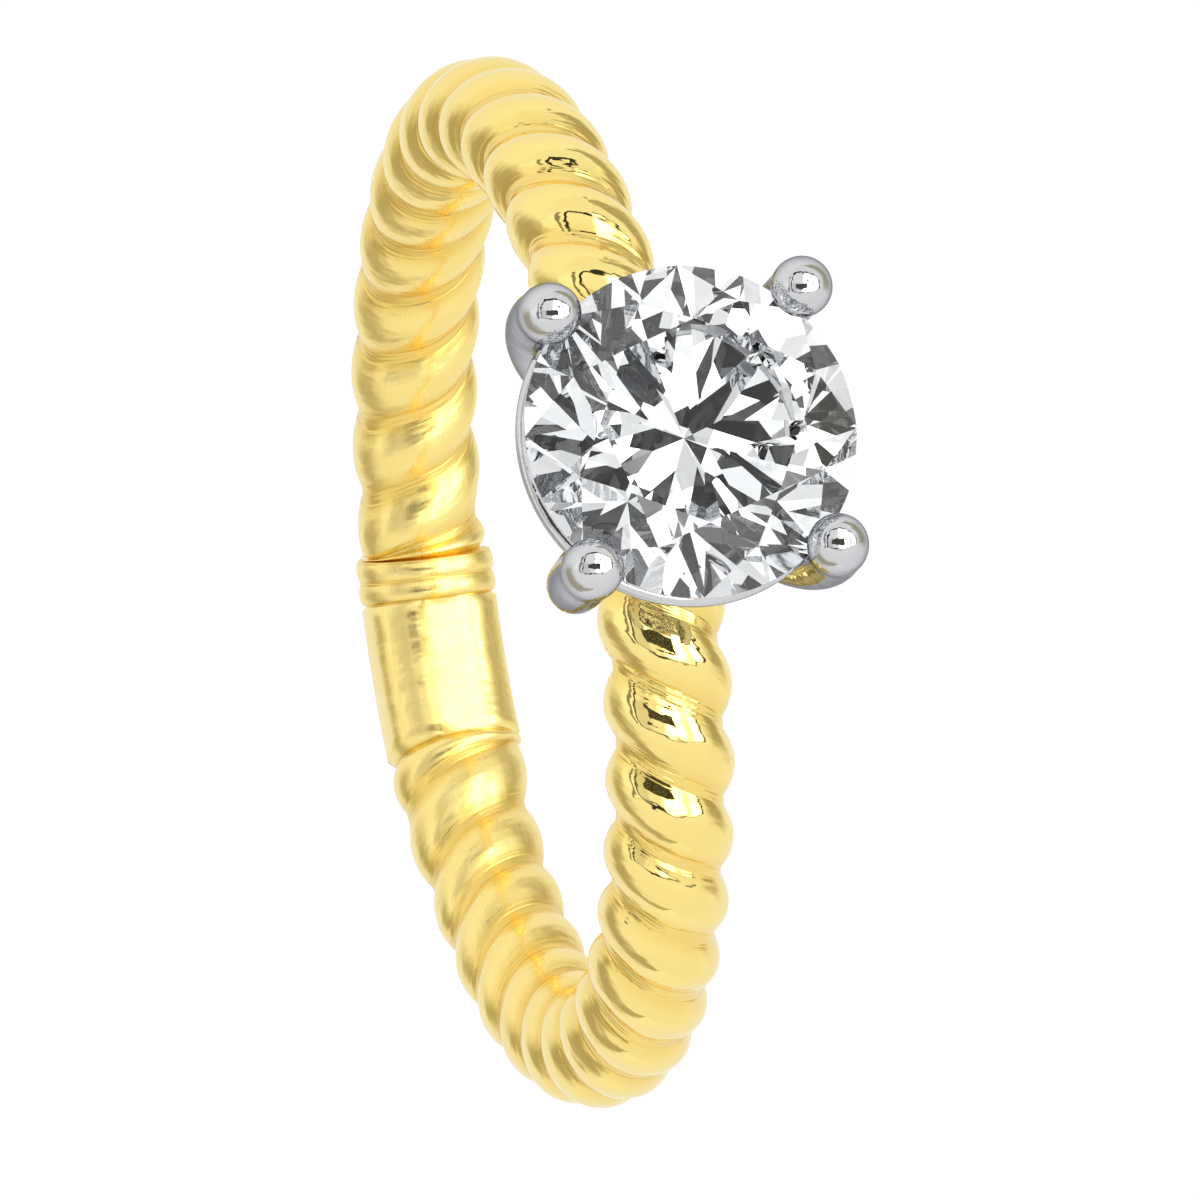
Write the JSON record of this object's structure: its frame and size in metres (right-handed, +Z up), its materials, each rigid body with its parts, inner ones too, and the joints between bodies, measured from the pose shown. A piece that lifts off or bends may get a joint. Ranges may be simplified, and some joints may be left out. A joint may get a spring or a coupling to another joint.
{
  "type": "solitaire ring",
  "caption": "Finger ring lying on its side: a twisted rope shank with a plain bar at the back, and a round brilliant stone in a prong head with ball tips.",
  "frame": {"origin": "on the plane that the ring lies on, under the middle of its outline", "axes": "-Y is the way the stone faces, +Y runs back to the bar, and +Z is up from the plane that the ring lies on"},
  "size_m": [0.0222, 0.0266, 0.0071],
  "materials": {
    "yellow_metal": "polished gold colour",
    "white_metal": "polished",
    "stone": "polished facets, colourless"
  },
  "bodies": {
    "root": {"shank": "yellow_metal", "head": "white_metal", "stone": "stone"}
  },
  "joints": []
}
